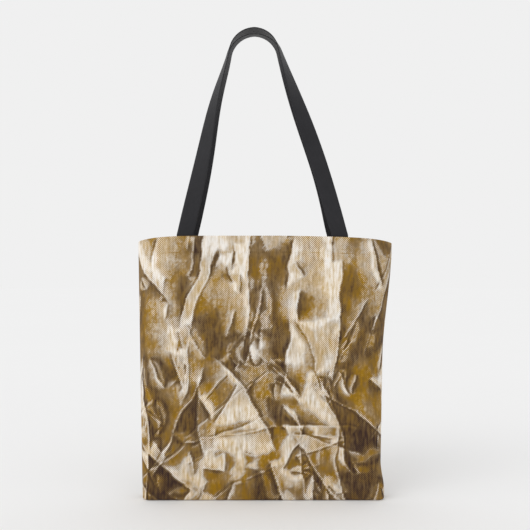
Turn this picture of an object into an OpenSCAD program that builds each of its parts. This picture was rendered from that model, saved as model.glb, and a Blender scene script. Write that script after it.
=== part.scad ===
// Fabric gift bag with two webbing handles, open at the top.
// Two cloth panels are sewn together down the sides and across a boxed base. Each panel is folded
// into a hem at the mouth and carries one handle, whose two ends are sewn inside the hem.
// The origin is at the bottom centre: +Z is up, -Y is the front and X runs across the bag.

/* [Bag] */
// Width of the bag across its mouth
mouth_w = 398; // [330:1:480]
// Width of the bag across its base
base_w = 382; // [310:1:460]
// Depth of the open mouth, front to back
mouth_d = 100; // [80:1:140]
// Depth of the boxed base, front to back
base_d = 50; // [40:1:70]
// Height of the bag at the middle of its rim, without the handles
bag_h = 410; // [320:1:500]
// How far the rim sags at the side seams
side_dip = 8; // [0:1:16]

/* [Cloth] */
// Thickness of one layer of cloth
cloth_t = 1.6; // [1.2:0.1:2.4]
// Radius of the four upright corners at the base
base_corner_r = 12; // [9:1:16]
// Length of the rounded run between the flat front and a side seam, at the mouth
mouth_round = 62; // [40:1:66]
// Half depth of the flat strip at each side seam, at the mouth
mouth_side_flat = 4; // [2:1:10]

/* [Hems and seams] */
// Depth of the folded hem round the mouth
hem_depth = 28; // [20:1:40]
// Distance from the rim down to the hem's row of stitches
hem_stitch_drop = 25; // [15:1:35]
// Width of the tape that binds the inner seams
binding_w = 9; // [6:1:12]
// Thickness of a bound seam
binding_t = 2.2; // [1.6:0.1:3]
// Thickness of a row of thread standing on the cloth
thread_t = 0.45; // [0.3:0.05:0.8]

/* [Handles] */
// Width of the webbing
webbing_w = 25.4; // [20:0.1:32]
// Thickness of the webbing
webbing_t = 1.5; // [1:0.1:2.5]
// Space between the outer foot of a handle and the place where the front rounds off
foot_inset = 2.3; // [0.5:0.1:20]
// Rise of a handle from the rim to its top
handle_rise = 322.5; // [220:0.5:400]
// Radius of the bend at the top of a handle
arch_r = 41; // [30:1:56]
// How far the top of a handle lies to the right of the middle of its feet
arch_shift = -12.5; // [-30:0.5:30]
// Sideways place of the middle of a handle's feet
feet_shift = -4; // [-10:1:10]
// Length of each end that is sewn inside the hem
sewn_end = 34; // [24:1:50]

/* [Clearances] */
// Space between two pieces that turn against each other
turn_gap = 0.5; // [0.3:0.1:1]
// Space between two layers of one wall
layer_gap = 0.3; // [0.2:0.1:0.5]
// Space between the two handles where they lean together
handle_gap = 2; // [1:0.5:6]
// Space between the edges of the front and the back cloth at a seam
seam_gap = 0.6; // [0.4:0.1:1]

/* [Hidden] */

LEFT = -1;
RIGHT = 1;
// Segments in each rounded corner of a wall, rows up a wall, rings along a leg and over the arch
corner_steps = 8;
panel_rows = 6;
leg_rings = 14;
arch_rings = 14;
// How sharply the rim's sag gathers towards the side seams
dip_power = 6;
// Part of the way from foot to top over which each leg has not begun to twist
left_twist_start = 0.03;
right_twist_start = 0.33;
// Height of a row of thread on the cloth
thread_w = 0.9;
// Border between the edge of a sewn end and its box of stitches
box_border = 3;
gold = "#A88850";
webbing_black = "#26262A";
tape_black = "#1E1E20";
thread_gold = "#8C6C34";

// ---- The wall's shape: straight from base to mouth, in rounded-rectangle sections ----
function mix(low, high, part) = low + (high - low) * part;
function half_w(z) = mix(base_w, mouth_w, z / bag_h) / 2;
function half_d(z) = mix(base_d, mouth_d, z / bag_h) / 2;
function corner_x(z) = mix(base_corner_r, mouth_round, z / bag_h);
function side_flat(z) = mix(base_d / 2 - base_corner_r, mouth_side_flat, z / bag_h);
function corner_y(z) = half_d(z) - side_flat(z);
function rim_z(x) = bag_h - side_dip * pow(min(abs(x) / (mouth_w / 2), 1), dip_power);

// A column is [side, angle round the corner, is it the seam edge]. The list runs from the left
// seam round the left corner, across the flat front, round the right corner to the right seam.
left_columns = [for (i = [0:corner_steps]) [LEFT, 90 * i / corner_steps, false]];
right_columns = [for (i = [corner_steps:-1:0]) [RIGHT, 90 * i / corner_steps, false]];
columns = concat([[LEFT, 0, true]], left_columns, right_columns, [[RIGHT, 0, true]]);

// The point of a column at height z, a distance deep inside the outer face of the front wall
function wall_point(column, z, deep) =
    let (rx = corner_x(z) - deep, ry = corner_y(z) - deep)
    let (cx = half_w(z) - corner_x(z), cy = side_flat(z))
    column[2]
        ? [column[0] * (cx + rx), -seam_gap / 2, z]
        : [column[0] * (cx + rx * cos(column[1])), -(cy + ry * sin(column[1])), z];
function column_rim(column) = rim_z(wall_point(column, bag_h, 0)[0]);

// Closed solid between an outer and an inner grid of points with the same rows and columns
module grid_solid(outer, inner) {
    last_row = len(outer) - 1;
    last_col = len(outer[0]) - 1;
    stride = last_col + 1;
    shift = len(outer) * stride;
    function at(row, col, layer) = layer * shift + row * stride + col;
    function two(a, b, c, d) = [[a, b, c], [a, c, d]];
    faces_of_cells = [
        for (r = [0:last_row - 1], c = [0:last_col - 1])
            concat(
                two(at(r, c, 0), at(r + 1, c, 0), at(r + 1, c + 1, 0), at(r, c + 1, 0)),
                two(at(r, c, 1), at(r, c + 1, 1), at(r + 1, c + 1, 1), at(r + 1, c, 1))
            )
    ];
    faces_of_ends = [
        for (r = [0:last_row - 1], c = [0, last_col])
            c == 0
                ? two(at(r + 1, c, 0), at(r, c, 0), at(r, c, 1), at(r + 1, c, 1))
                : two(at(r, c, 0), at(r + 1, c, 0), at(r + 1, c, 1), at(r, c, 1))
    ];
    faces_of_rims = [
        for (c = [0:last_col - 1], r = [0, last_row])
            r == 0
                ? two(at(r, c, 0), at(r, c + 1, 0), at(r, c + 1, 1), at(r, c, 1))
                : two(at(r, c + 1, 0), at(r, c, 0), at(r, c, 1), at(r, c + 1, 1))
    ];
    polyhedron(
        points = [for (layer = [outer, inner], row = layer, point = row) point],
        faces = [for (part = [faces_of_cells, faces_of_ends, faces_of_rims], cell = part, f = cell) f]
    );
}

// Part of the front wall between two lists of heights, one height per column, and two depths
module wall_band(lows, highs, deep_out, deep_in, rows) {
    function grid(deep) = [
        for (r = [0:rows])
            [for (c = [0:len(columns) - 1]) wall_point(columns[c], mix(lows[c], highs[c], r / rows), deep)]
    ];
    grid_solid(grid(deep_out), grid(deep_in));
}

// Everything at the back is the front turned over to the other side of the seams
module at_back() {
    mirror([0, 1, 0]) children();
}

// ---- Base ----
module base_outline() {
    reach_x = base_w / 2 - base_corner_r;
    reach_y = base_d / 2 - base_corner_r;
    square([base_w, 2 * reach_y], center = true);
    square([2 * reach_x, base_d], center = true);
    for (sx = [LEFT, RIGHT], sy = [-1, 1])
        translate([sx * reach_x, sy * reach_y]) circle(r = base_corner_r, $fn = 64);
}

module base_flap() {
    color(gold)
        linear_extrude(cloth_t)
            intersection() {
                base_outline();
                translate([-base_w / 2, -base_d / 2]) square([base_w, (base_d - seam_gap) / 2]);
            }
}

// Clear face of the side walls at the base, where the bound seams stop
binding_reach = half_w(0) - cloth_t - turn_gap;

module front_base_flap() {
    base_flap();
}

module back_base_flap() {
    at_back() base_flap();
}

// The bound seam across the middle of the base lies flat, turned towards the back
module bottom_binding() {
    length = 2 * (binding_reach - binding_t - turn_gap);
    color(tape_black)
        translate([-length / 2, 0, cloth_t]) cube([length, binding_w, binding_t]);
}

// The bound seam of a boxed corner stands inside the end of the base
module corner_binding(side) {
    length = base_d - 2 * base_corner_r;
    color(tape_black)
        translate([side * (binding_reach - binding_t / 2), 0, cloth_t + binding_w / 2])
            cube([binding_t, length, binding_w], center = true);
}

module left_corner_binding() {
    corner_binding(LEFT);
}

module right_corner_binding() {
    corner_binding(RIGHT);
}

// The bound side seam stands inward from the side, from the corner seam up to the hem
module side_binding(side) {
    low = cloth_t + binding_w;
    high = bag_h - side_dip - hem_depth - turn_gap;
    function reach(z) = half_w(z) - cloth_t - turn_gap;
    profile = [
        [reach(low) - binding_w, low], [reach(low), low],
        [reach(high), high], [reach(high) - binding_w, high]
    ];
    color(tape_black)
        rotate([90, 0, 0])
            linear_extrude(binding_t, center = true)
                polygon([for (p = profile) [side * p[0], p[1]]]);
}

module left_side_binding() {
    side_binding(LEFT);
}

module right_side_binding() {
    side_binding(RIGHT);
}

// ---- Walls ----
rims = [for (column = columns) column_rim(column)];
panel_foot = cloth_t + turn_gap;
hem_deep = cloth_t + layer_gap;
end_deep = hem_deep + cloth_t + layer_gap;

module panel() {
    color(gold)
        wall_band([for (rim = rims) panel_foot], rims, 0, cloth_t, panel_rows);
}

module hem() {
    color(gold)
        wall_band([for (rim = rims) rim - hem_depth], rims, hem_deep, hem_deep + cloth_t, 1);
}

module hem_stitching() {
    lows = [for (rim = rims) rim - hem_stitch_drop - thread_w / 2];
    highs = [for (rim = rims) rim - hem_stitch_drop + thread_w / 2];
    thread_clear = 0.05;
    color(thread_gold)
        wall_band(lows, highs, -thread_t, -thread_clear, 1);
}

module front_panel() {
    panel();
}

module back_panel() {
    at_back() panel();
}

module front_hem() {
    hem();
}

module back_hem() {
    at_back() hem();
}

module front_hem_stitching() {
    hem_stitching();
}

module back_hem_stitching() {
    at_back() hem_stitching();
}

// ---- Handles ----
wall_lean = atan((mouth_d - base_d) / 2 / bag_h);
// A handle turns about a line in the middle of the hem's two layers, level with the rim, and its
// webbing runs beside that line, so that it clears the hem whichever way it hangs.
pivot_deep = cloth_t + layer_gap / 2;
pivot_y = -(half_d(bag_h) - pivot_deep);
webbing_y = -(half_d(bag_h) - end_deep - webbing_t / 2);
loop_lift = 1.2;
end_drop = 1;

// Both feet of a handle stand on the flat part of the front
feet_apart = mouth_w - 2 * (mouth_round + foot_inset + abs(feet_shift)) - webbing_w;
function foot_x(side) = feet_shift + side * feet_apart / 2;

// A sewn end lies on the hem's inner face, its top just under the rim
module placed_on_hem(side, deep) {
    translate([foot_x(side), -half_d(bag_h) + deep, bag_h - end_drop])
        rotate([wall_lean, 0, 0])
            children();
}

module handle_end(side) {
    color(webbing_black)
        placed_on_hem(side, end_deep)
            translate([-webbing_w / 2, 0, -sewn_end])
                cube([webbing_w, webbing_t, sewn_end]);
}

// A box of thread with a cross in it, on the inner face of a sewn end
module box_stitch(side) {
    box = [webbing_w - 2 * box_border, sewn_end - 2 * box_border];
    diagonal = norm(box) - thread_w;
    slope = atan(box[1] / box[0]);
    color(tape_black)
        placed_on_hem(side, end_deep)
            translate([0, webbing_t + thread_t, -sewn_end / 2])
                rotate([90, 0, 0])
                    linear_extrude(thread_t) {
                        difference() {
                            square(box, center = true);
                            square([box[0] - 2 * thread_w, box[1] - 2 * thread_w], center = true);
                        }
                        for (turn = [-slope, slope])
                            rotate(turn) square([diagonal, thread_w], center = true);
                    }
}

module front_handle_left_end() {
    handle_end(LEFT);
}

module front_handle_right_end() {
    handle_end(RIGHT);
}

module back_handle_left_end() {
    at_back() handle_end(LEFT);
}

module back_handle_right_end() {
    at_back() handle_end(RIGHT);
}

module front_left_box_stitch() {
    box_stitch(LEFT);
}

module front_right_box_stitch() {
    box_stitch(RIGHT);
}

module back_left_box_stitch() {
    at_back() box_stitch(LEFT);
}

module back_right_box_stitch() {
    at_back() box_stitch(RIGHT);
}

// The free part of a handle lies in a plane that leans in until the two handles nearly meet.
// In that plane it is two straight legs and a round bend; places are [across, up the plane].
top_y = -(handle_gap + webbing_w) / 2;
lean = atan((top_y - webbing_y) / handle_rise);
plane_rise = handle_rise / cos(lean) - webbing_t / 2;
arch_centre = [feet_shift + arch_shift, plane_rise - arch_r];

function foot_at(side) = [foot_x(side), loop_lift];
function to_arch(side) = arch_centre - foot_at(side);
// Direction of a leg from its foot, as the tangent from the foot to the bend
function leg_angle(side) =
    atan2(to_arch(side)[1], to_arch(side)[0]) - side * asin(arch_r / norm(to_arch(side)));
function leg_length(side) = sqrt(pow(norm(to_arch(side)), 2) - arch_r * arch_r);
// Angle round the bend where a leg meets it, and the length from foot to top
function meet_angle(side) = leg_angle(side) - side * 90;
function half_length(side) = leg_length(side) + arch_r * abs(meet_angle(side) - 90) * PI / 180;

// Webbing faces forward at its foot and turns outward until it lies flat over the top
function ease(part) = let (p = max(0, min(1, part))) (p + p * p * (3 - 2 * p)) / 2;
function twist(side, run) =
    let (start = side == LEFT ? left_twist_start : right_twist_start)
    90 * ease((run / half_length(side) - start) / (1 - start));

// A ring is [place in the plane, outward direction in the plane, twist]
function leg_ring(side, i) =
    let (run = leg_length(side) * i / leg_rings, angle = leg_angle(side))
    let (across = i == 0 ? 90 - side * 90 : angle - side * 90)
    [foot_at(side) + run * [cos(angle), sin(angle)], [cos(across), sin(across)], twist(side, run)];
function arch_ring(i) =
    let (angle = mix(meet_angle(LEFT), meet_angle(RIGHT), i / arch_rings))
    let (side = angle > 90 ? LEFT : RIGHT)
    let (run = half_length(side) - arch_r * abs(angle - 90) * PI / 180)
    [arch_centre + arch_r * [cos(angle), sin(angle)], [cos(angle), sin(angle)], twist(side, run)];
loop_rings = concat(
    [for (i = [0:leg_rings - 1]) leg_ring(LEFT, i)],
    [for (i = [0:arch_rings]) arch_ring(i)],
    [for (i = [leg_rings - 1:-1:0]) leg_ring(RIGHT, i)]
);

// From the plane's [across, up, forward] to the bag's frame
function from_plane(across, up, forward) = [
    across,
    webbing_y + up * sin(lean) - forward * cos(lean),
    bag_h + up * cos(lean) + forward * sin(lean)
];
function ring_corner(ring, along, through) =
    let (w = along * cos(ring[2]) + through * sin(ring[2]))
    let (f = through * cos(ring[2]) - along * sin(ring[2]))
    from_plane(ring[0][0] + w * ring[1][0], ring[0][1] + w * ring[1][1], f);

module handle_loop() {
    half_w = webbing_w / 2;
    half_t = webbing_t / 2;
    outer = [for (ring = loop_rings) [for (s = [1, -1]) ring_corner(ring, s * half_w, half_t)]];
    inner = [for (ring = loop_rings) [for (s = [1, -1]) ring_corner(ring, s * half_w, -half_t)]];
    color(webbing_black)
        grid_solid(outer, inner);
}

module front_handle() {
    handle_loop();
}

module back_handle() {
    at_back() handle_loop();
}

front_base_flap();
back_base_flap();
bottom_binding();
left_corner_binding();
right_corner_binding();
left_side_binding();
right_side_binding();
front_panel();
front_hem();
front_hem_stitching();
front_handle_left_end();
front_handle_right_end();
front_left_box_stitch();
front_right_box_stitch();
front_handle();
back_panel();
back_hem();
back_hem_stitching();
back_handle_left_end();
back_handle_right_end();
back_left_box_stitch();
back_right_box_stitch();
back_handle();
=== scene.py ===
from math import pi, radians

import bpy
import numpy as np
from bpy.props import FloatProperty, FloatVectorProperty, IntProperty, PointerProperty
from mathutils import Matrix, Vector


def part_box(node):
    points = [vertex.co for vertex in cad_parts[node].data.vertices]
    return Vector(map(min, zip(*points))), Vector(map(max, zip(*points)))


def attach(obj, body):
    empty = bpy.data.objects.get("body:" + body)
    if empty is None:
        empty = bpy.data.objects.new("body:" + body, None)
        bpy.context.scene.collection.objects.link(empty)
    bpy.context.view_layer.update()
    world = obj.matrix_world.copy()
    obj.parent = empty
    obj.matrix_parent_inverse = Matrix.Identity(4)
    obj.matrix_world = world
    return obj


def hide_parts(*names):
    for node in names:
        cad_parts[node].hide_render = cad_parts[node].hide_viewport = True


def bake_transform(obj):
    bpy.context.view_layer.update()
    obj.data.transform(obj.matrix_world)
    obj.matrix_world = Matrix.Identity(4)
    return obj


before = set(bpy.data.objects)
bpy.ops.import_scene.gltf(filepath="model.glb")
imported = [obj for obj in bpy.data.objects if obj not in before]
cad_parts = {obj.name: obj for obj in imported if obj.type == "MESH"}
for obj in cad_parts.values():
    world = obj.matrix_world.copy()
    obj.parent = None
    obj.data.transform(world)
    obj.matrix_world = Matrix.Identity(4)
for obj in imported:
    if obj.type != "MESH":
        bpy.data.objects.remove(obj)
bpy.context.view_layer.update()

bl_info = {
    "name": "Gift Bag",
    "version": (1, 0, 0),
    "blender": (4, 5, 0),
    "location": "View3D > Sidebar > Gift Bag",
    "description": "Cloth gift bag with a crumpled foil print and two webbing handles",
    "category": "Add Mesh",
}

LEFT, RIGHT = -1, 1
FRONT, BACK = 1, -1
SIDE_NAMES = {FRONT: "front", BACK: "back"}
LEG_NAMES = {LEFT: "left", RIGHT: "right"}

panel_low, panel_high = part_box("front_panel")
flap_low, flap_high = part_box("front_base_flap")
end_low, end_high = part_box("front_handle_left_end")


# ---- Sizes and colours ----
def length(name, description, default, low=0.0, high=1.0):
    """A length that a user may change, in metres."""
    return FloatProperty(
        name=name, description=description, default=default, min=low, max=high,
        unit="LENGTH", precision=4,
    )


def colour(name, description, default):
    """A plain colour that a user may change, in linear red, green and blue."""
    return FloatVectorProperty(
        name=name, description=description, default=default, min=0.0, max=1.0,
        size=3, subtype="COLOR",
    )


class GiftBagSizes(bpy.types.PropertyGroup):
    """Sizes of the bag, which follow its frame."""

    bag_h: length("Height", "Height at the middle of the rim", panel_high.z)
    mouth_w: length("Mouth width", "Width across the mouth", 0.398)
    mouth_d: length("Mouth depth", "Depth of the open mouth", -2 * panel_low.y)
    base_w: length("Base width", "Width across the base", flap_high.x - flap_low.x)
    base_d: length("Base depth", "Depth of the boxed base", -2 * flap_low.y)
    base_corner: length("Base corner", "Radius of the upright corners at the base", 0.012)
    mouth_round: length("Mouth round", "Run from the flat front to a side seam", 0.062)
    mouth_side_flat: length("Side strip", "Half depth of the flat strip at the mouth", 0.004)
    seam_gap: length("Seam gap", "Space between the cloths at a seam", 0.0006)
    side_dip: length("Side dip", "How far the rim sags at the seams", 0.008)
    right_droop: length("Right droop", "Extra sag of the rim towards the right", 0.0022)
    side_tuck: length("Side tuck", "How far the right side is drawn in", 0.0115)
    cloth_t: length("Cloth thickness", "Thickness of one layer of cloth", 0.001)
    base_edge_r: length("Base edge", "Radius of the edge round the base", 0.003)
    hem_fold_r: length("Hem fold", "Radius of the cloth's fold over the rim", 0.0017)
    hem_depth: length("Hem depth", "Depth of the folded hem", 0.028)
    hem_stitch_drop: length("Stitch drop", "From the rim to the hem's stitches", 0.025)
    stitch_pitch: length("Stitch pitch", "From one stitch to the next", 0.0032)
    stitch_length: length("Stitch length", "Length of one stitch", 0.0024)
    thread_w: length("Thread width", "Width of the thread", 0.0008)
    webbing_w: length("Webbing width", "Width of the handles", end_high.x - end_low.x)
    webbing_t: length("Webbing thickness", "Thickness of the handles", 0.0015)
    end_deep: length("End depth", "From the front's face to a sewn end", 0.0038)
    sewn_end: length("Sewn end", "Length of handle sewn inside the hem", 0.034)
    end_drop: length("End drop", "Top of a sewn end below the rim", 0.001)
    foot_inset: length("Foot inset", "Outer foot to where the front rounds off", 0.0023)
    feet_shift: length("Feet shift", "Middle of the feet, to the right", -0.004, low=-0.05)
    handle_rise: length("Handle rise", "Rim to the top of a handle", 0.3225)
    handle_gap: length("Handle gap", "Space between the leaning handles", 0.002)
    arch_r: length("Arch radius", "Radius of the bend at the top", 0.041)
    arch_shift: length("Arch shift", "Top of the handle, to the right", -0.0125, low=-0.05)
    left_bow: length("Left bow", "How far a left leg bows out near its top", 0.0040)
    front_bow: length("Front bow", "How far the front handle's right leg bows out", 0.0030)
    back_bow: length("Back bow", "How far the back handle's right leg bows out", 0.0070)
    loop_lift: length("Loop lift", "Foot of the free loop above the rim", 0.0012)
    binding_w: length("Binding width", "Width of the tape on inner seams", 0.009)
    binding_t: length("Binding thickness", "Thickness of a bound seam", 0.0022)
    seed: IntProperty(name="Crumple seed", description="Which crumple is printed", default=11)


class GiftBagColours(bpy.types.PropertyGroup):
    """Colours of the bag and its stage."""

    # Each woven finish has a dark colour, painted shade in the weave's hollows, and a lighter one,
    # painted light on its raised threads and ribs; both also colour odd yarns at random
    webbing: colour("Webbing", "Black of the handles", (0.010, 0.010, 0.0115))
    webbing_lit_ribs_and_flecks: colour("Lit webbing ribs and flecks", "Lighter black of raised ribs", (0.026, 0.0253, 0.0290))
    tape: colour("Binding tape", "Black of the inner tape", (0.012, 0.012, 0.013))
    tape_light: colour("Light tape", "Lighter threads of the tape", (0.035, 0.034, 0.037))
    lining: colour("Reverse", "Unprinted back of the cloth", (0.68, 0.65, 0.58))
    lining_shade: colour("Reverse shade", "Hollows of the unprinted cloth", (0.50, 0.47, 0.41))
    thread_black: colour("Black thread", "Thread of the handles", (0.010, 0.010, 0.011))
    thread_black_light: colour("Light black thread", "High side of it", (0.040, 0.040, 0.044))
    floor: colour("Floor", "Pale floor and backdrop", (0.875, 0.875, 0.875))


# The print's tones from its deepest fold to its brightest sheen: place on the ramp, then colour
FOIL_TONES = (
    (0.00, (0.028, 0.013, 0.012)),
    (0.06, (0.086, 0.042, 0.014)),
    (0.20, (0.188, 0.113, 0.038)),
    (0.45, (0.268, 0.155, 0.038)),
    (0.60, (0.342, 0.202, 0.052)),
    (0.73, (0.480, 0.318, 0.118)),
    (0.86, (0.620, 0.500, 0.325)),
    (1.00, (0.930, 0.890, 0.845)),
)

# The height and half width over which painted light on the print is graded: brighter towards the
# top and the left
PRINT_H, PRINT_HALF_W = 0.41, 0.20

# The folds of the print by size: how many, about how long, how far each reaches, how steep
FOLD_SIZES = (
    (9, 0.190, 0.034, 1.25),
    (16, 0.120, 0.040, 1.10),
    (46, 0.062, 0.022, 1.05),
    (100, 0.030, 0.011, 0.90),
)


def bag_sizes():
    """The sizes in use."""
    return bpy.context.scene.gift_bag_sizes


def bag_colours():
    """The colours in use."""
    return bpy.context.scene.gift_bag_colours


# ---- Plain helpers ----
def mix(low, high, part):
    """A straight step from low to high."""
    return low + (high - low) * part


def ramp(low, high, value):
    """An eased step from 0 below low to 1 above high."""
    part = np.clip((value - low) / (high - low), 0.0, 1.0)
    return part * part * (3 - 2 * part)


def hump(value, middle, width):
    """A bell of height 1 round the middle."""
    return np.exp(-(((value - middle) / width) ** 2))


def unit(vectors):
    """Vectors scaled to length 1."""
    return vectors / np.maximum(np.linalg.norm(vectors, axis=-1, keepdims=True), 1e-12)


def grid_quads(rows, cols, first=0, flip=False):
    """Quads of a grid of points, which face along (next column) x (next row)."""
    r, c = np.meshgrid(np.arange(rows - 1), np.arange(cols - 1), indexing="ij")
    a = (first + r * cols + c).ravel()
    quads = np.stack([a, a + 1, a + cols + 1, a + cols], axis=1)
    return quads[:, ::-1] if flip else quads


def tube_quads(rings, around, first=0):
    """Quads of a closed tube of rings, each joined to itself."""
    r, k = np.meshgrid(np.arange(rings - 1), np.arange(around), indexing="ij")
    a = (first + r * around + k).ravel()
    b = (first + r * around + (k + 1) % around).ravel()
    return np.stack([a, b, b + around, a + around], axis=1)


def new_piece(name, points, faces, materials, face_materials=None, fields=None):
    """A mesh object at the origin. fields are numbers or vectors kept on its points."""
    mesh = bpy.data.meshes.new(name)
    polygons = [face for block in faces for face in block.tolist()]
    mesh.from_pydata(points.reshape(-1, 3).tolist(), [], polygons)
    for material in materials:
        mesh.materials.append(material)
    if face_materials is not None:
        mesh.polygons.foreach_set("material_index", face_materials.astype(np.int32))
    for field, values in (fields or {}).items():
        vector = values.ndim > 1
        kept = mesh.attributes.new(field, "FLOAT_VECTOR" if vector else "FLOAT", "POINT")
        kept.data.foreach_set("vector" if vector else "value", values.astype(np.float32).ravel())
    mesh.shade_smooth()
    mesh.update()
    piece = bpy.data.objects.new(name, mesh)
    bpy.context.collection.objects.link(piece)
    return piece


# ---- The wall's shape, the same for cloth, hem, stitches and tapes ----
# Shares of the way round one cloth that are the flat strip at a seam and the rounded corner
STRIP_SHARE = 1 / 70
CORNER_SHARE = 12 / 70


def round_the_front(part):
    """Splits the way round one cloth, 0 at the left seam and 1 at the right, into the side, the
    share of the seam's strip, the angle round the corner and the place across the flat."""
    near = np.minimum(part, 1 - part)
    side = np.where(part < 0.5, LEFT, RIGHT)
    strip = np.clip(near / STRIP_SHARE, 0, 1)
    angle = np.clip((near - STRIP_SHARE) / CORNER_SHARE, 0, 1) * pi / 2
    edge = STRIP_SHARE + CORNER_SHARE
    flat = np.clip((part - edge) / (1 - 2 * edge), 0, 1) * 2 - 1
    return side, strip, angle, flat


def rim_height(bag, x):
    """Level at the middle, sagging steeply at the seams and slowly towards the right."""
    share = np.minimum(np.abs(x) / (bag.mouth_w / 2), 1)
    return bag.bag_h - bag.side_dip * share**6 - bag.right_droop * ramp(0.01, 0.17, x)


# Soft waves of the cloth: size, run across, run up and start
CLOTH_WAVES = (
    (0.0011, 0.130, 0.310, 1.0),
    (0.0009, 0.083, -0.220, 2.2),
    (0.0005, 0.047, 0.090, 0.4),
)


def cloth_lift(bag, x, height):
    """How far the cloth stands out: a slight belly, soft waves and puckers at the handles. It
    fades to nothing at the base and mostly at the rim."""
    up = np.clip(height / bag.bag_h, 0, 1)
    free = np.sin(pi * up) ** 0.7
    across = 1 - (x / (bag.mouth_w / 2)) ** 2
    belly = 0.0022 * np.sin(pi * up) * np.clip(across, 0, 1)
    waves = sum(
        size * np.sin(2 * pi * (x / across_run + height / up_run) + start)
        for size, across_run, up_run, start in CLOTH_WAVES
    )
    rim_wave = 0.0009 * np.sin(2 * pi * x / 0.115 + 0.6) * ramp(0.55, 1.0, up)
    seam_fade = 1 - ramp(0.80, 0.99, np.abs(x) / (bag.mouth_w / 2))
    pucker = sum(
        hump(x, bag.feet_shift + side * feet_apart(bag) / 2, 0.016) for side in (LEFT, RIGHT)
    )
    pucker = 0.0009 * pucker * hump(height, bag.bag_h - bag.sewn_end, 0.020)
    return belly + (waves * free + rim_wave) * seam_fade - pucker


def side_draw(bag, x, height):
    """How far the right side is drawn in: most in its lower half, less at the base and nothing
    at the mouth."""
    rise = mix(0.45, 1.0, ramp(0.012, 0.060, height)) * (1 - ramp(0.22, 0.39, height))
    return bag.side_tuck * rise * ramp(0.095, 0.190, x)


def wall_point(bag, part, height, deep):
    """Place on one front wall: a rounded rectangle whose sides run straight from base to mouth,
    a distance deep inside its face, with the cloth's lift and the right side's draw added."""
    side, strip, angle, flat = round_the_front(part)
    up = height / bag.bag_h
    corner_x = mix(bag.base_corner, bag.mouth_round, up)
    side_flat = mix(bag.base_d / 2 - bag.base_corner, bag.mouth_side_flat, up)
    corner_y = mix(bag.base_d, bag.mouth_d, up) / 2 - side_flat
    centre_x = mix(bag.base_w, bag.mouth_w, up) / 2 - corner_x
    x = flat * centre_x + side * (corner_x - deep) * np.cos(angle)
    y = -(mix(bag.seam_gap / 2, side_flat, strip) + (corner_y - deep) * np.sin(angle))
    lift = cloth_lift(bag, x, height)
    x = x + side * np.cos(angle) * lift * 0.4 - side_draw(bag, x, height)
    y = y - np.sin(angle) * lift
    return np.stack(np.broadcast_arrays(x, y, height), axis=-1)


def rim_over(bag, part):
    """Height of the rim above each place round the cloth."""
    x = wall_point(bag, part, np.full_like(part, bag.bag_h), 0.0)[..., 0]
    return rim_height(bag, x)


def wall_tangent(bag, part, height, deep):
    """Direction round the cloth, towards the right."""
    step = 1e-3
    return unit(
        wall_point(bag, np.minimum(part + step, 1), height, deep)
        - wall_point(bag, np.maximum(part - step, 0), height, deep)
    )


# ---- The print ----
def soft_noise(rng, u, v, cell):
    """Smooth noise from -1 to 1: random numbers on a square lattice, eased between."""
    a, b = u / cell, v / cell
    low_a, low_b = np.floor(a.min()), np.floor(b.min())
    a, b = a - low_a, b - low_b
    lattice = rng.uniform(-1, 1, (int(a.max()) + 3, int(b.max()) + 3))
    i, j = a.astype(int), b.astype(int)
    p, q = a - i, b - j
    p, q = p * p * (3 - 2 * p), q * q * (3 - 2 * q)
    lower = mix(lattice[i, j], lattice[i + 1, j], p)
    upper = mix(lattice[i, j + 1], lattice[i + 1, j + 1], p)
    return mix(lower, upper, q)


def fold_slope(u, v, foot, head, turn_side, reach, strength):
    """Slope that one straight fold gives the foil: it jumps from one way to the other across the
    fold and dies away with distance and past its ends. Gives the slope across and up, and the
    fold's crest, a light line with a dark one beside it."""
    along = np.array(head) - np.array(foot)
    span = np.linalg.norm(along)
    along = along / span
    run = (u - foot[0]) * along[0] + (v - foot[1]) * along[1]
    off = (u - foot[0]) * along[1] - (v - foot[1]) * along[0]
    window = ramp(-0.10 * span, 0.10 * span, run) * (1 - ramp(0.90 * span, 1.10 * span, run))
    width = reach * (0.35 + 0.65 * np.sin(pi * np.clip(run / span, 0, 1)))
    turn = -turn_side * strength * window * np.tanh(off / 0.0007) * np.exp(-np.abs(off) / width)
    light, dark = hump(off, -turn_side * 0.0009, 0.0011), hump(off, turn_side * 0.0021, 0.0015)
    crest = strength * window * (light - 0.8 * dark)
    return turn * along[1], -turn * along[0], crest


def foil_shine(slope_u, slope_v):
    """What crumpled foil mirrors at a slope: a lit room, with two bright windows that end sharply
    and dark gaps between them."""
    facing = 1.25 * slope_u + 0.85 * slope_v
    window = ramp(0.55, 0.80, facing) * (1 - ramp(1.20, 1.60, facing))
    low_window = ramp(-1.62, -1.45, facing) * (1 - ramp(-1.15, -0.98, facing))
    gap = hump(facing, -0.62, 0.30) + hump(facing, 2.6, 0.60) + hump(facing, -2.3, 0.45)
    return 0.45 * np.tanh(0.75 * facing) + 0.62 * window + 0.42 * low_window - 0.42 * gap


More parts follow.
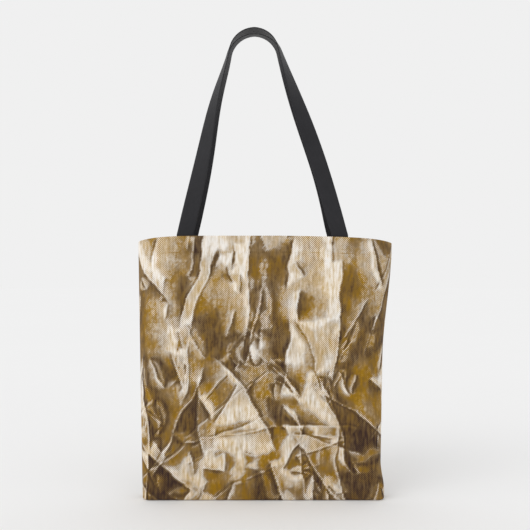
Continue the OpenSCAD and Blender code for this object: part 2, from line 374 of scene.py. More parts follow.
def foil_print(u, v, seed):
    """Tone from 0 to 1 of crumpled foil: many seeded folds, from hand length to finger width and
    closer together near the base, on a plane bent by noise, with painted light over it that is
    brighter towards the top and the left and darker at the lower left. The tones are then spread
    evenly, so that the ramp decides how much of each colour shows. Also gives how open the print
    is, most where the tone changes fast and in its light golds, and how warm, most where it is
    flat."""
    rng = np.random.default_rng(seed)

    def noise(size, cell, upright=1.0):
        """Soft noise of a size, upright times as long up as across."""
        return size * soft_noise(rng, u * upright, v, cell)

    bend_u = noise(0.009, 0.060) + noise(0.0018, 0.016)
    bend_v = noise(0.009, 0.060) + noise(0.0018, 0.016)
    ragged = noise(0.0005, 0.0050)
    bent_u, bent_v = u + bend_u + ragged, v + bend_v + ragged
    slope_u = noise(0.35, 0.060, 1.7) + noise(0.08, 0.022, 1.5)
    slope_v = noise(0.30, 0.060, 1.7) + noise(0.08, 0.022, 1.5)
    crest = np.zeros_like(u)
    for count, span, reach, strength in FOLD_SIZES:
        for _ in range(count):
            middle = (rng.uniform(-0.23, 0.23), -0.02 + 0.45 * rng.uniform() ** 1.35)
            upright = ramp(0.12, 0.24, middle[1])
            lean = rng.normal(0, mix(0.95, 0.34, upright))
            half = span * rng.uniform(0.30, 0.75)
            step = (half * np.sin(lean), half * np.cos(lean))
            foot = (middle[0] - step[0], middle[1] - step[1])
            head = (middle[0] + step[0], middle[1] + step[1])
            turn_side = rng.choice((LEFT, RIGHT))
            step_u, step_v, near = fold_slope(
                bent_u, bent_v, foot, head, turn_side, reach, strength * rng.uniform(0.6, 1.3)
            )
            slope_u, slope_v, crest = slope_u + step_u, slope_v + step_v, crest + near
    slope_u = slope_u + 0.05 * soft_noise(rng, bent_u * 1.8, bent_v, 0.008)
    slope_u = slope_u + noise(0.05, 0.0032)
    shine = foil_shine(slope_u, slope_v) + 0.42 * np.clip(crest, -1.0, 1.0)
    # Painted light from the upper left: brighter towards the top and the left, and darker at the
    # lower left
    shine += 0.36 * (v / PRINT_H - 0.5) - 0.06 * u / PRINT_HALF_W
    shine -= 0.14 * np.clip(-u / PRINT_HALF_W, 0, 1) * np.clip(1 - v / PRINT_H, 0, 1)
    shine += noise(0.09, 0.0026)
    order = np.empty(shine.size)
    order[np.argsort(shine, axis=None, kind="stable")] = np.linspace(0, 1, shine.size)
    tone = order.reshape(shine.shape)
    change = np.hypot(*np.gradient(tone))
    edge = np.clip(4.5 * change, 0, 0.6) + 0.5 * hump(tone, 0.70, 0.13)
    warm = 0.75 + noise(0.45, 0.028, 1.4) - 3.0 * np.minimum(change, 0.15)
    warm += 0.40 * soft_noise(rng, bent_u * 1.8, bent_v, 0.010)
    return tone, edge, np.clip(warm, 0, 1)


# ---- Shader groups and materials ----
def add_node(tree, kind, inputs=None, **settings):
    """A node with its settings, whose inputs are numbers, colours or other nodes' outputs."""
    node = tree.nodes.new(kind)
    for name, value in settings.items():
        setattr(node, name, value)
    for name, value in (inputs or {}).items():
        if isinstance(value, bpy.types.NodeSocket):
            tree.links.new(value, node.inputs[name])
        else:
            node.inputs[name].default_value = value
    return node


def arithmetic(tree, operation, *values):
    """One sum, product or the like."""
    inputs = dict(enumerate(values))
    return add_node(tree, "ShaderNodeMath", inputs, operation=operation).outputs[0]


def kept_value(tree, name):
    """A number kept on the piece's own points."""
    return add_node(tree, "ShaderNodeAttribute", attribute_name=name).outputs["Fac"]


def weave_group():
    """Plain weave: threads that pass over and under each other, and a fleck from thread to
    thread. It reads a place on the cloth in metres."""
    name = "Weave"
    if name in bpy.data.node_groups:
        return bpy.data.node_groups[name]
    tree = bpy.data.node_groups.new(name, "ShaderNodeTree")
    for socket, way, kind in (
        ("Place", "INPUT", "Vector"), ("Threads Across", "INPUT", "Float"),
        ("Threads Along", "INPUT", "Float"), ("Height", "OUTPUT", "Float"),
        ("Fleck", "OUTPUT", "Float"),
    ):
        tree.interface.new_socket(socket, in_out=way, socket_type=f"NodeSocket{kind}")
    given = tree.nodes.new("NodeGroupInput")
    place = add_node(tree, "ShaderNodeSeparateXYZ", {"Vector": given.outputs["Place"]})
    across = arithmetic(tree, "MULTIPLY", place.outputs["X"], given.outputs["Threads Across"])
    along = arithmetic(tree, "MULTIPLY", place.outputs["Y"], given.outputs["Threads Along"])
    waves = [
        arithmetic(tree, "SINE", arithmetic(tree, "MULTIPLY", turns, 2 * pi))
        for turns in (across, along)
    ]
    crossing = arithmetic(tree, "MULTIPLY", *waves)
    height = arithmetic(tree, "MULTIPLY_ADD", crossing, 0.5, 0.5)
    stretched = add_node(tree, "ShaderNodeCombineXYZ", {
        "X": arithmetic(tree, "MULTIPLY", across, 0.8),
        "Y": arithmetic(tree, "MULTIPLY", along, 0.15),
    })
    noise = add_node(tree, "ShaderNodeTexNoise", {
        "Vector": stretched.outputs[0], "Scale": 1.0, "Detail": 2.0,
    })
    given_out = tree.nodes.new("NodeGroupOutput")
    tree.links.new(height, given_out.inputs["Height"])
    tree.links.new(noise.outputs["Fac"], given_out.inputs["Fleck"])
    return tree


def new_material(name):
    """An empty material with a Principled BSDF."""
    material = bpy.data.materials.new(name)
    material.use_nodes = True
    tree = material.node_tree
    return material, tree, tree.nodes["Principled BSDF"]


def add_weave(tree, threads_across, threads_along):
    """The weave group, reading the place kept on the piece's own points."""
    place = add_node(tree, "ShaderNodeAttribute", attribute_name="weave")
    group = add_node(tree, "ShaderNodeGroup", node_tree=weave_group())
    tree.links.new(place.outputs["Vector"], group.inputs["Place"])
    group.inputs["Threads Across"].default_value = threads_across
    group.inputs["Threads Along"].default_value = threads_along
    return group


def add_relief(tree, shader, height, distance, strength):
    """A bump from a height to the shader's normal."""
    bump = add_node(tree, "ShaderNodeBump", {
        "Height": height, "Distance": distance, "Strength": strength,
    })
    tree.links.new(bump.outputs["Normal"], shader.inputs["Normal"])


def set_gloss(tree, shader, value, rough_low, rough_high, sheen, gloss):
    """Roughness that runs between two numbers with a value, and an even sheen and gloss."""
    rough = add_node(tree, "ShaderNodeMapRange", {
        "Value": value, "To Min": rough_low, "To Max": rough_high,
    })
    tree.links.new(rough.outputs["Result"], shader.inputs["Roughness"])
    shader.inputs["Sheen Weight"].default_value = sheen
    shader.inputs["Specular IOR Level"].default_value = gloss


def colour_ramp(tree, factor, stops):
    """A ramp from place and colour pairs."""
    node = add_node(tree, "ShaderNodeValToRGB", {"Fac": factor})
    points = node.color_ramp.elements
    for index, (place, rgb) in enumerate(stops):
        point = points[index] if index < 2 else points.new(place)
        point.position = place
        point.color = (*rgb, 1)
    return node.outputs["Color"]


# In a metre: woven dots of the print, threads of the canvas, and a sewing thread's twist each way
DOTS, CANVAS_THREADS, TWIST = 330, 1250, (2400, 1100)


def printed_cloth_material():
    """Canvas printed like crumpled foil. The print breaks into woven dots where it changes, and
    its gold is deeper or paler from place to place."""
    material, tree, shader = new_material("printed cloth")
    # The print's tone, which carries painted light: brighter towards the top and the left, darker
    # at the lower left
    tone = kept_value(tree, "tone")
    edge = kept_value(tree, "edge")
    dots = add_weave(tree, DOTS, DOTS)
    canvas = add_weave(tree, CANVAS_THREADS, CANVAS_THREADS)
    centred = arithmetic(tree, "SUBTRACT", dots.outputs["Height"], 0.5)
    grip = arithmetic(tree, "MULTIPLY_ADD", edge, 1.20, 0.28)
    dotted = arithmetic(tree, "ADD", tone, arithmetic(tree, "MULTIPLY", centred, grip))
    fleck = arithmetic(tree, "SUBTRACT", dots.outputs["Fleck"], 0.5)
    flecked_tone = arithmetic(tree, "ADD", dotted, arithmetic(tree, "MULTIPLY", fleck, 0.55))
    warm = kept_value(tree, "warm")
    swing = arithmetic(tree, "MULTIPLY", flecked_tone, 0.95)
    depth = arithmetic(tree, "MULTIPLY_ADD", arithmetic(tree, "SUBTRACT", warm, 0.55), swing, 1.0)
    gold = add_node(tree, "ShaderNodeHueSaturation", {
        "Color": colour_ramp(tree, flecked_tone, FOIL_TONES), "Saturation": depth,
    })
    tree.links.new(gold.outputs["Color"], shader.inputs["Base Color"])
    set_gloss(tree, shader, flecked_tone, 0.74, 0.52, 0.03, 0.22)
    add_relief(tree, shader, canvas.outputs["Height"], 0.00018, 0.55)
    return material


def printed_thread_material():
    """Thread that takes the tone of the print it is sewn through."""
    material, tree, shader = new_material("gold thread")
    tone = kept_value(tree, "tone")
    twist = add_weave(tree, *TWIST)
    tree.links.new(colour_ramp(tree, tone, FOIL_TONES), shader.inputs["Base Color"])
    shader.inputs["Roughness"].default_value = 0.6
    shader.inputs["Specular IOR Level"].default_value = 0.2
    add_relief(tree, shader, twist.outputs["Height"], 0.0001, 0.5)
    return material


def woven_material(name, dark, light, threads, distance, roughness, gloss):
    """Dyed or raw cloth of one colour, with painted shade in its hollows and painted light on
    its raised threads. Odd yarns and soft blotches are lighter or darker at random.
    """
    material, tree, shader = new_material(name)
    weave = add_weave(tree, *threads)
    blotch = add_node(tree, "ShaderNodeTexNoise", {
        "Vector": add_node(tree, "ShaderNodeTexCoord").outputs["Object"],
        "Scale": 28.0, "Detail": 3.0,
    })
    # Painted shade in the weave's hollows and painted light on its raised threads
    body = arithmetic(tree, "MULTIPLY", weave.outputs["Height"], 0.45)
    yarn = arithmetic(tree, "MULTIPLY", weave.outputs["Fleck"], 0.35)
    cloud = arithmetic(tree, "MULTIPLY", blotch.outputs["Fac"], 0.30)
    fac = arithmetic(tree, "ADD", arithmetic(tree, "ADD", body, yarn), cloud)
    stops = ((0.15, tuple(dark)), (0.95, tuple(light)))
    tree.links.new(colour_ramp(tree, fac, stops), shader.inputs["Base Color"])
    set_gloss(tree, shader, fac, roughness + 0.08, roughness - 0.08, gloss / 5, gloss)
    add_relief(tree, shader, weave.outputs["Height"], distance, 0.7)
    return material


def bag_material(name):
    """The named finish, made once."""
    if name in bpy.data.materials:
        return bpy.data.materials[name]
    paint = bag_colours()
    if name == "printed cloth":
        return printed_cloth_material()
    if name == "gold thread":
        return printed_thread_material()
    # Painted shade of the hollows, painted light of the high sides, threads in a metre each way,
    # relief, roughness and gloss
    finishes = {
        "cloth reverse": (paint.lining_shade, paint.lining, (900, 900), 0.00018, 0.85, 0.3),
        "black webbing": (paint.webbing, paint.webbing_lit_ribs_and_flecks, (340, 620), 0.00025, 0.55, 0.2),
        "binding tape": (paint.tape, paint.tape_light, (800, 900), 0.00020, 0.75, 0.15),
        "black thread": (paint.thread_black, paint.thread_black_light, TWIST, 0.0001, 0.6, 0.2),
    }
    return woven_material(name, *finishes[name])


# ---- Cloths ----
BASE_ROWS, EDGE_ROWS, WALL_ROWS, FOLD_ROWS, HEM_ROWS = 12, 8, 228, 8, 20
CLOTH_STEPS = 280
COARSE = 4
# Share of the half width that the seam under the base reaches
SEAM_SHARE = 0.985


def cloth_face(bag):
    """The printed face of one front cloth as rows from the seam under the base, round the base's
    edge, up the wall, over the rim and down the hem inside."""
    part = np.linspace(0, 1, CLOTH_STEPS + 1)[None, :]
    edge_r, fold_r = bag.base_edge_r, bag.hem_fold_r
    rim = rim_over(bag, part)

    def rows(count, last=False):
        """Even shares from 0 up to 1, which is left out unless asked for."""
        return np.arange(count + last)[:, None] / count

    turn = rows(EDGE_ROWS) * pi / 2
    edge_height = edge_r * (1 - np.cos(turn)) + 0 * part
    edge = wall_point(bag, part, edge_height, edge_r * (1 - np.sin(turn)))
    seam_reach = SEAM_SHARE * np.where(part < 0.5, -edge[0, 0, 0], edge[0, -1, 0])
    seam = np.stack([
        (2 * part - 1) * seam_reach, np.full_like(part, -bag.seam_gap / 2), np.zeros_like(part),
    ], axis=-1)
    base = mix(seam, edge[:1], rows(BASE_ROWS)[..., None])
    shoulder = rim - fold_r
    wall = wall_point(bag, part, mix(edge_r, shoulder, rows(WALL_ROWS)), 0.0)
    over = rows(FOLD_ROWS) * pi
    fold = wall_point(bag, part, shoulder + fold_r * np.sin(over), fold_r * (1 - np.cos(over)))
    hem = wall_point(bag, part, shoulder - bag.hem_depth * rows(HEM_ROWS, True), 2 * fold_r)
    return np.concatenate([base, edge, wall, fold, hem])


def run_lengths(face):
    """Distance over the cloth from its middle column and from its base edge, in metres."""
    steps = np.linalg.norm(np.diff(face, axis=1), axis=-1)
    across = np.concatenate([np.zeros((len(face), 1)), np.cumsum(steps, axis=1)], axis=1)
    middle = face.shape[1] // 2
    across -= across[:, middle:middle + 1]
    rises = np.linalg.norm(np.diff(face[:, middle], axis=0), axis=-1)
    up = np.concatenate([[0], np.cumsum(rises)])
    up -= up[BASE_ROWS]
    return across, np.broadcast_to(up[:, None], across.shape)


def outline_ring(rows, cols, step):
    """Points round the outline of a grid in order, every so many steps."""
    r, c = np.arange(0, rows, step), np.arange(0, cols, step)
    bottom, top = 0 * c[:-1], 0 * c[:-1] + rows - 1
    left, right = 0 * r[:-1], 0 * r[:-1] + cols - 1
    ring_r = np.concatenate([bottom, r[:-1], top, r[::-1][:-1]])
    ring_c = np.concatenate([c[:-1], right, c[::-1][:-1], left])
    return ring_r, ring_c


def sew_outlines(fine, coarse, flip):
    """Triangles between a fine ring of points and one with a fourth as many."""
    after = np.roll(coarse, -1)
    f = [np.roll(fine, -k)[::COARSE] for k in range(COARSE + 1)]
    strips = [
        (coarse, f[1], f[0]), (coarse, f[2], f[1]), (coarse, after, f[2]),
        (after, f[3], f[2]), (after, f[4], f[3]),
    ]
    triangles = np.concatenate([np.stack(strip, axis=1) for strip in strips])
    return triangles[:, ::-1] if flip else triangles


def make_cloth(side):
    """One closed sheet of cloth: the finely gridded printed face, and a coarser reverse the
    cloth's thickness behind it, sewn together round their outlines."""
    bag = bag_sizes()
    face = cloth_face(bag)
    rows, cols = face.shape[:2]
    normal = unit(np.cross(np.gradient(face, axis=1), np.gradient(face, axis=0)))
    reverse = (face - normal * bag.cloth_t)[::COARSE, ::COARSE]
    across, up = run_lengths(face)
    tone, edge, warm = foil_print(side * across, up, bag.seed)
    place = np.stack([across, up, 0 * up], axis=-1)
    face, reverse = face * (1, side, 1), reverse * (1, side, 1)
    fine_count = rows * cols
    fine_r, fine_c = outline_ring(rows, cols, 1)
    coarse_r, coarse_c = outline_ring(rows, cols, COARSE)
    coarse_cols = reverse.shape[1]
    coarse_ring = fine_count + coarse_r // COARSE * coarse_cols + coarse_c // COARSE
    flip = side == BACK
    faces = [
        grid_quads(rows, cols, flip=flip),
        grid_quads(*reverse.shape[:2], first=fine_count, flip=not flip),
        sew_outlines(fine_r * cols + fine_c, coarse_ring, flip),
    ]
    kinds = np.concatenate([np.full(len(block), k) for block, k in zip(faces, (0, 1, 1))])

    def both(values):
        """Values for the printed face, then for the reverse."""
        flat_shape = (-1,) if values.ndim == 2 else (-1, 3)
        return np.concatenate([
            values.reshape(flat_shape), values[::COARSE, ::COARSE].reshape(flat_shape),
        ])

    name = SIDE_NAMES[side]
    cloth = new_piece(
        f"{name}_cloth",
        np.concatenate([face.reshape(-1, 3), reverse.reshape(-1, 3)]),
        faces,
        [bag_material("printed cloth"), bag_material("cloth reverse")],
        kinds,
        {"tone": both(tone), "edge": both(edge), "warm": both(warm), "weave": both(place)},
    )
    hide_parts(f"{name}_panel", f"{name}_base_flap", f"{name}_hem")
    bend_with_wall(cloth)
    return cloth


def bend_with_wall(piece):
    """Bakes the piece's place into its points; nothing ties it to the base or the wall."""
    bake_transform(piece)


# ---- Webbing and tape ----
def strip_section(width, thickness):
    """Outline of a flat strip with rounded edges: two long faces and two half rounds."""
    faces, round_steps = 10, 6
    half, edge = width / 2 - thickness / 2, thickness / 2
    angle = np.linspace(-pi / 2, pi / 2, round_steps + 1)
    right = np.stack([half + edge * np.cos(angle), edge * np.sin(angle)], axis=1)
    top = np.stack([np.linspace(half, -half, faces + 1)[1:-1], np.full(faces - 1, edge)], axis=1)
    return np.concatenate([right, top, -right, -top])


def strip_along(path, along, through, width, thickness):
    """A flat strip carried along a path, closed with a fan at each end. along and through are
    the section's directions at each place. Gives its points, faces and places in the weave."""
    section = strip_section(width, thickness)
    rings = (
        path[:, None]
        + section[None, :, :1] * along[:, None]
        + section[None, :, 1:] * through[:, None]
    )
    count, around = rings.shape[:2]
    steps = np.linalg.norm(np.diff(path, axis=0), axis=-1)
    run = np.concatenate([[0], np.cumsum(steps)])
    place = np.stack(np.broadcast_arrays(section[None, :, 0], run[:, None], 0.0), axis=-1)
    points = np.concatenate([rings.reshape(-1, 3), path[:1], path[-1:]])
    place = np.concatenate([
        place.reshape(-1, 3), [[0, 0, 0], [0, run[-1], 0]],
    ])
    ring = np.arange(around)
    after = (ring + 1) % around
    last, hub = (count - 1) * around, count * around
    faces = [
        tube_quads(count, around),
        np.stack([after, ring, 0 * ring + hub], axis=1),
        np.stack([last + ring, last + after, 0 * ring + hub + 1], axis=1),
    ]
    return points, faces, place, run[-1]


def turned_out(points, faces):
    """The faces, each turned round when the closed shape they make encloses less than nothing."""
    volume = sum(
        np.einsum(
            "ij,ij->i", points[block[:, 0]], np.cross(points[block[:, i]], points[block[:, i + 1]])
        ).sum()
        for block in faces for i in range(1, block.shape[1] - 1)
    )
    return faces if volume > 0 else [block[:, ::-1] for block in faces]


def feet_apart(bag):
    """Both feet stand on the flat part of the front."""
    taken = 2 * (bag.mouth_round + bag.foot_inset + abs(bag.feet_shift))
    return bag.mouth_w - taken - bag.webbing_w


def webbing_lean(bag):
    """Where a handle's plane starts and the angle at which it leans in."""
    start_y = -(bag.mouth_d / 2 - bag.end_deep - bag.webbing_t / 2)
    top_y = -(bag.handle_gap + bag.webbing_w) / 2
    return start_y, np.arctan((top_y - start_y) / bag.handle_rise)


def wall_axes(bag):
    """Directions up the leaning front wall and square to it, into the bag."""
    lean = np.arctan((bag.mouth_d - bag.base_d) / 2 / bag.bag_h)
    return np.array([0, -np.sin(lean), np.cos(lean)]), np.array([0, np.cos(lean), np.sin(lean)])


def loop_path(bag, bow):
    """The free loop in its leaning plane: a straight leg, the round bend and a straight leg.
    Gives places, outward directions and the twist that lays the webbing flat over the top."""
    lean = webbing_lean(bag)[1]
    rise = bag.handle_rise / np.cos(lean) - bag.webbing_t / 2
    centre = np.array([bag.feet_shift + bag.arch_shift, rise - bag.arch_r])
    leg_steps, arch_steps, foot_run = 70, 60, 0.045
    twist_start = {LEFT: 0.03, RIGHT: 0.33}
    legs, meets = {}, {}
    for side in (LEFT, RIGHT):
        foot = np.array([bag.feet_shift + side * feet_apart(bag) / 2, bag.loop_lift])
        to_arch = centre - foot
        reach = np.linalg.norm(to_arch)
        angle = np.arctan2(to_arch[1], to_arch[0]) - side * np.arcsin(bag.arch_r / reach)
        span = np.sqrt(reach**2 - bag.arch_r**2)
        meets[side] = angle - side * pi / 2
        run = span * np.arange(leg_steps)[:, None] / leg_steps
        outward = mix(pi / 2 - side * pi / 2, meets[side], ramp(0, foot_run, run))
        half_length = span + bag.arch_r * abs(meets[side] - pi / 2)
        places = foot + run * (np.cos(angle), np.sin(angle))
        if side == RIGHT:
            places = places + np.sin(pi * (run / span) ** 0.7) ** 2 * (bow, 0)
        else:
            places = places - np.sin(pi * (run / span) ** 2) ** 2 * (bag.left_bow, 0)
        legs[side] = (places, outward, run, half_length)

    def twist(side, run):
        """A quarter turn by the top of the loop, half of it growing evenly and half eased."""
        start = twist_start[side]
        share = np.clip((run / legs[side][3] - start) / (1 - start), 0, 1)
        return pi / 4 * (share + share**2 * (3 - 2 * share))

    angle = mix(meets[LEFT], meets[RIGHT], np.arange(arch_steps + 1)[:, None] / arch_steps)
    off_top = bag.arch_r * np.abs(angle - pi / 2)
    bend = centre + bag.arch_r * np.concatenate([np.cos(angle), np.sin(angle)], axis=1)
    bend_twist = np.where(
        angle > pi / 2,
        twist(LEFT, legs[LEFT][3] - off_top), twist(RIGHT, legs[RIGHT][3] - off_top),
    )
    places = np.concatenate([legs[LEFT][0], bend, legs[RIGHT][0][::-1]])
    outward = np.concatenate([legs[LEFT][1], angle, legs[RIGHT][1][::-1]])
    turns = np.concatenate([
        twist(LEFT, legs[LEFT][2]), bend_twist, twist(RIGHT, legs[RIGHT][2])[::-1],
    ])
    return places, outward, turns


def handle_frame(bag, bow):
    """The whole handle as one length of webbing: up a sewn end, round the loop and down the
    other end. Gives places and the two directions of its section."""
    start_y, lean = webbing_lean(bag)
    across_axis = np.array([1.0, 0, 0])
    up_axis = np.array([0, np.sin(lean), np.cos(lean)])
    forward_axis = np.array([0, -np.cos(lean), np.sin(lean)])
    flat, outward, twist = loop_path(bag, bow)
    loop = (
        flat[:, :1] * across_axis + flat[:, 1:] * up_axis + np.array([0, start_y, bag.bag_h])
    )
    out = np.cos(outward) * across_axis + np.sin(outward) * up_axis
    along = np.cos(twist) * out - np.sin(twist) * forward_axis
    through = np.sin(twist) * out + np.cos(twist) * forward_axis
    wall_up, inward = wall_axes(bag)
    end_steps = 12
    down = bag.end_drop + bag.sewn_end * np.arange(end_steps + 1)[:, None] / end_steps
    ends = {}
    for side in (LEFT, RIGHT):
        top = np.array([bag.feet_shift + side * feet_apart(bag) / 2, start_y, bag.bag_h])
        places = top - down * wall_up
        ends[side] = (
            places,
            np.broadcast_to([float(side), 0, 0], places.shape),
            np.broadcast_to(-inward, places.shape),
        )
    return [
        np.concatenate([ends[LEFT][k][::-1], middle, ends[RIGHT][k]])
        for k, middle in enumerate((loop, along, through))
    ]


def make_strap(side):
    """One handle of black webbing, in one length from sewn end to sewn end."""
    bag = bag_sizes()
    bow = bag.front_bow if side == FRONT else bag.back_bow
    path, along, through = handle_frame(bag, bow)
    points, faces, place, run = strip_along(path, along, through, bag.webbing_w, bag.webbing_t)
    points = points * (1, side, 1)
    name = SIDE_NAMES[side]
    strap = new_piece(
        f"{name}_strap", points, turned_out(points, faces), [bag_material("black webbing")],
        fields={"weave": place},
    )
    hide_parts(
        f"{name}_handle", f"{name}_handle_left_end", f"{name}_handle_right_end"
    )
    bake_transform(strap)
    return strap


def make_tape(name, node, path, along, through):
    """A bound seam inside the bag: black tape folded over the cloths' edges."""
    bag = bag_sizes()
    points, faces, place, _ = strip_along(path, along, through, bag.binding_w, bag.binding_t)
    tape = new_piece(
        name, points, turned_out(points, faces), [bag_material("binding tape")],
        fields={"weave": place},
    )
    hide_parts(node)
    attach(tape, "base")
    return tape


# ---- Stitches ----
# How far a stitch's middle stands off the cloth, and the run round one cloth at the hem
STITCH_PROUD, HEM_RUN = 0.0001, 0.44


def stitch_shape():
    """One stitch as a flattened bead: rings from tip to tip, in shares of its size."""
    turn, around = np.meshgrid(np.linspace(0, pi, 6), np.arange(6) * pi / 3, indexing="ij")
    radius = np.maximum(np.sin(turn) ** 0.5, 0.05)
    return np.stack([
        -np.cos(turn) / 2, radius * np.cos(around) / 2, radius * np.sin(around) / 2,
    ], axis=-1)


def make_stitches(name, side, places, stitch_length, material, tone=0.0):
    """Many stitches as one piece. places are the front's centres, and each stitch's forward,
    sideways and outward directions."""
    bag = bag_sizes()
    centres, forward, sideways, outward = (given * (1, side, 1) for given in places)
    shape = stitch_shape()
    rings, around = shape.shape[:2]
    size = np.array([stitch_length, bag.thread_w, bag.thread_w])
    local = shape.reshape(-1, 3) * size
    points = (
        centres[:, None] + local[None, :, :1] * forward[:, None]
        + local[None, :, 1:2] * sideways[:, None] + local[None, :, 2:] * outward[:, None]
    )
    each = rings * around
    starts = np.arange(len(centres))[:, None, None] * each
    body = (tube_quads(rings, around)[None] + starts).reshape(-1, 4)
    cap = np.arange(around)
    ends = np.stack([cap[::-1], cap + (rings - 1) * around])
    ends = (ends[None] + starts).reshape(-1, around)
    points = points.reshape(-1, 3)
    place = np.tile(local[:, [1, 0, 2]], (len(centres), 1))
    tones = np.repeat(np.broadcast_to(tone, len(centres)), each).astype(float)
    return new_piece(
        name, points, turned_out(points, [body, ends]), [bag_material(material)],
        fields={"weave": place, "tone": tones},
    )


def tones_under(side, rows, cols):
    """The print's tone at rows and columns of one cloth's printed face."""
    cloth = bpy.data.objects[f"{SIDE_NAMES[side]}_cloth"].data
    tones = np.empty(len(cloth.vertices), dtype=np.float32)
    cloth.attributes["tone"].data.foreach_get("value", tones)
    return tones[np.rint(rows).astype(int) * (CLOTH_STEPS + 1) + np.rint(cols).astype(int)]


def hem_stitches(side):
    """Rows of gold thread round the hem, outside and inside."""
    bag = bag_sizes()
    count = int(HEM_RUN / bag.stitch_pitch)
    part = (np.arange(count) + 0.5) / count
    height = rim_over(bag, part) - bag.hem_stitch_drop
    rows = []
    for deep, way in ((-STITCH_PROUD, 1), (2 * bag.hem_fold_r + STITCH_PROUD, -1)):
        forward = wall_tangent(bag, part, height, deep)
        upward = np.broadcast_to([0.0, 0, 1], forward.shape)
        outward = unit(np.cross(forward, upward)) * way
        rows.append((wall_point(bag, part, height, deep), forward, upward, outward))
    centres, forward, upward, outward = (np.concatenate(parts) for parts in zip(*rows))
    first_row, shoulder = BASE_ROWS + EDGE_ROWS, rim_over(bag, part) - bag.hem_fold_r
    outer_row = first_row + WALL_ROWS * (height - bag.base_edge_r) / (shoulder - bag.base_edge_r)
    inner_row = first_row + WALL_ROWS + FOLD_ROWS
    inner_row = inner_row + HEM_ROWS * (shoulder - height) / bag.hem_depth
    rows_under = np.concatenate([outer_row, inner_row])
    tone = tones_under(side, rows_under, np.tile(part * CLOTH_STEPS, 2))
    name = SIDE_NAMES[side]
    stitches = make_stitches(
        f"{name}_hem_stitches", side, (centres, forward, upward, outward),
        bag.stitch_length, "gold thread", tone,
    )
    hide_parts(f"{name}_hem_stitching")
    bend_with_wall(stitches)


def box_stitches(side, leg):
    """A box with a cross in it, in black thread on the inner face of a sewn end."""
    bag = bag_sizes()
    border, pitch, stitch_length = 0.003, 0.0028, 0.0023
    half_x, half_z = bag.webbing_w / 2 - border, bag.sewn_end / 2 - border
    corners = np.array([
        (-half_x, -half_z), (half_x, -half_z), (half_x, half_z), (-half_x, half_z),
    ])
    runs = [(corners[k], corners[(k + 1) % 4]) for k in range(4)]
    runs += [(corners[0], corners[2]), (corners[1], corners[3])]
    places, ways = [], []
    for start, end in runs:
        count = int(np.linalg.norm(end - start) / pitch)
        places.append(mix(start, end, (np.arange(count)[:, None] + 0.5) / count))
        ways.append(np.broadcast_to(unit(end - start), places[-1].shape))
    places, ways = np.concatenate(places), np.concatenate(ways)
    up_axis, inward = wall_axes(bag)
    middle = np.array([
        bag.feet_shift + leg * feet_apart(bag) / 2, webbing_lean(bag)[0], bag.bag_h,
    ]) - up_axis * (bag.end_drop + bag.sewn_end / 2) + inward * (bag.webbing_t / 2 + STITCH_PROUD)
    centres = middle + places[:, :1] * (1, 0, 0) + places[:, 1:] * up_axis
    forward = ways[:, :1] * (1, 0, 0) + ways[:, 1:] * up_axis
    outward = np.broadcast_to(inward, forward.shape)
    name = f"{SIDE_NAMES[side]}_{LEG_NAMES[leg]}"
    stitches = make_stitches(
        f"{name}_box_stitches", side, (centres, forward, np.cross(outward, forward), outward),
        stitch_length, "black thread",
    )
    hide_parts(f"{name}_box_stitch")
    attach(stitches, f"{SIDE_NAMES[side]}_wall")


# ---- Operators ----
class GIFTBAG_OT_cloths(bpy.types.Operator):
    """Make the front and the back cloth"""

    bl_idname = "giftbag.cloths"
    bl_label = "Cloths"

    def execute(self, context):
        for side in (FRONT, BACK):
            make_cloth(side)
        return {"FINISHED"}


class GIFTBAG_OT_straps(bpy.types.Operator):
    """Make the two webbing handles"""

    bl_idname = "giftbag.straps"
    bl_label = "Handles"

    def execute(self, context):
        for side in (FRONT, BACK):
            make_strap(side)
        return {"FINISHED"}


class GIFTBAG_OT_tapes(bpy.types.Operator):
    """Make the tapes that bind the inner seams"""

    bl_idname = "giftbag.tapes"
    bl_label = "Seam tapes"

    def execute(self, context):
        bag = bag_sizes()
        clear = 0.0005
        on_base = bag.cloth_t + clear
        x_axis, y_axis, z_axis = np.eye(3)
        steps = np.linspace(0, 1, 41)[:, None]

        def along_all(direction):
            """One direction at every step."""
            return np.broadcast_to(direction, (len(steps), 3))

        tape_low, tape_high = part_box("bottom_binding")
        right_end = tape_high.x - side_draw(bag, tape_high.x, on_base)
        path = mix(tape_low.x, right_end, steps) * x_axis
        path = path + y_axis * bag.binding_w / 2 + z_axis * (on_base + bag.binding_t / 2)
        make_tape("bottom_tape", "bottom_binding", path, along_all(y_axis), along_all(z_axis))
        for side in (LEFT, RIGHT):
            word = LEG_NAMES[side]
            node = f"{word}_corner_binding"
            low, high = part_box(node)
            middle_x = (low.x + high.x) / 2
            middle_x -= side_draw(bag, middle_x, on_base + bag.binding_w / 2)
            path = mix(low.y, high.y, steps) * y_axis + x_axis * middle_x
            path = path + z_axis * (on_base + bag.binding_w / 2)
            make_tape(f"{word}_corner_tape", node, path, along_all(z_axis), along_all(x_axis))
            node = f"{word}_side_binding"
            low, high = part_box(node)
            height = mix(low.z, high.z, steps[:, 0])
            seam = np.full_like(height, 0.0 if side == LEFT else 1.0)
            edge = wall_point(bag, seam, height, bag.cloth_t + clear)[:, 0]
            path = np.stack([edge - side * bag.binding_w / 2, 0 * height, height], axis=1)
            make_tape(f"{word}_side_tape", node, path, along_all(x_axis), along_all(y_axis))
        return {"FINISHED"}


class GIFTBAG_OT_stitches(bpy.types.Operator):
    """Make the hem's stitches and the boxes that hold the handles"""

    bl_idname = "giftbag.stitches"
    bl_label = "Stitches"

    def execute(self, context):
        for side in (FRONT, BACK):
            hem_stitches(side)
            for leg in (LEFT, RIGHT):
                box_stitches(side, leg)
        return {"FINISHED"}


# The stage: floor, backdrop, suns (name, strength, softness, from the top, turn) and camera
FLOOR_HALF, FLOOR_DROP, SKY_GREY = 12.0, 0.0005, 0.871
SUNS = (("high light", 0.48, 35, 50, -38), ("side light", 0.42, 40, 76, -68))
CAMERA_PLACE, LENS_MM = (0, -1.3515, 0.3645), 58.2


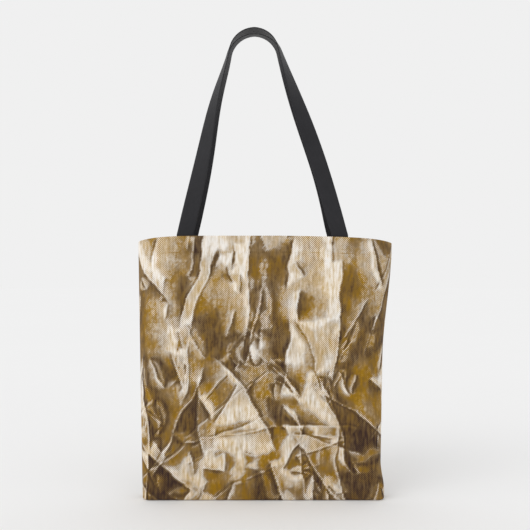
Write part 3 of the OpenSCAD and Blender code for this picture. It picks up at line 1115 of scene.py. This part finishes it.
def add_sun(name, energy, softness, from_top, turn):
    """A soft light from far away, whose softness and directions are in degrees."""
    lamp = bpy.data.lights.new(name, "SUN")
    lamp.energy = energy
    lamp.angle = radians(softness)
    light = bpy.data.objects.new(name, lamp)
    light.rotation_euler = (radians(from_top), 0, radians(turn))
    bpy.context.collection.objects.link(light)


class GIFTBAG_OT_stage(bpy.types.Operator):
    """Make the floor, the soft light and the camera"""

    bl_idname = "giftbag.stage"
    bl_label = "Stage"

    def execute(self, context):
        scene = context.scene
        scene.view_settings.view_transform = "Standard"
        steps = 8
        reach = np.linspace(-FLOOR_HALF, FLOOR_HALF, steps)
        u, v = np.meshgrid(reach, reach)
        points = np.stack([u, v, np.full_like(u, -FLOOR_DROP)], axis=-1)
        material, tree, shader = new_material("pale floor")
        grain = add_node(tree, "ShaderNodeTexNoise", {
            "Vector": add_node(tree, "ShaderNodeTexCoord").outputs["Object"], "Scale": 1.5,
        })
        pale = np.array(bag_colours().floor)
        stops = ((0.3, tuple(pale * 0.995)), (0.7, tuple(pale)))
        shade = colour_ramp(tree, grain.outputs["Fac"], stops)
        tree.links.new(shade, shader.inputs["Base Color"])
        shader.inputs["Roughness"].default_value = 1.0
        shader.inputs["Specular IOR Level"].default_value = 0.0
        floor = new_piece("floor", points, [grid_quads(steps, steps)], [material])
        world = bpy.data.worlds.new("studio")
        world.use_nodes = True
        sky = world.node_tree.nodes["Background"]
        sky.inputs["Color"].default_value = (SKY_GREY, SKY_GREY, SKY_GREY, 1)
        sky.inputs["Strength"].default_value = 1.0
        scene.world = world
        for sun in SUNS:
            add_sun(*sun)
        camera = bpy.data.objects.new("camera", bpy.data.cameras.new("camera"))
        camera.data.lens = LENS_MM
        camera.location = CAMERA_PLACE
        camera.rotation_euler = (radians(90), 0, 0)
        context.collection.objects.link(camera)
        scene.camera = camera
        return {"FINISHED"}


class GIFTBAG_PT_panel(bpy.types.Panel):
    """Sizes, colours and pieces of the gift bag"""

    bl_label = "Gift Bag"
    bl_idname = "GIFTBAG_PT_panel"
    bl_space_type = "VIEW_3D"
    bl_region_type = "UI"
    bl_category = "Gift Bag"

    def draw(self, context):
        layout = self.layout
        for group in (context.scene.gift_bag_sizes, context.scene.gift_bag_colours):
            for name in group.__annotations__:
                layout.prop(group, name)
        for operator in PIECES:
            layout.operator(operator.bl_idname)


PIECES = (
    GIFTBAG_OT_stage, GIFTBAG_OT_cloths, GIFTBAG_OT_straps, GIFTBAG_OT_tapes,
    GIFTBAG_OT_stitches,
)
CLASSES = (GiftBagSizes, GiftBagColours, *PIECES, GIFTBAG_PT_panel)


def register():
    """Add the classes, the sizes and the colours."""
    for item in CLASSES:
        bpy.utils.register_class(item)
    bpy.types.Scene.gift_bag_sizes = PointerProperty(type=GiftBagSizes)
    bpy.types.Scene.gift_bag_colours = PointerProperty(type=GiftBagColours)


def unregister():
    """Take them away again."""
    del bpy.types.Scene.gift_bag_colours
    del bpy.types.Scene.gift_bag_sizes
    for item in reversed(CLASSES):
        bpy.utils.unregister_class(item)


def main():
    """Make the stage and every piece."""
    register()
    bpy.ops.giftbag.stage()
    bpy.ops.giftbag.cloths()
    bpy.ops.giftbag.straps()
    bpy.ops.giftbag.tapes()
    bpy.ops.giftbag.stitches()


if __name__ == "__main__":
    main()
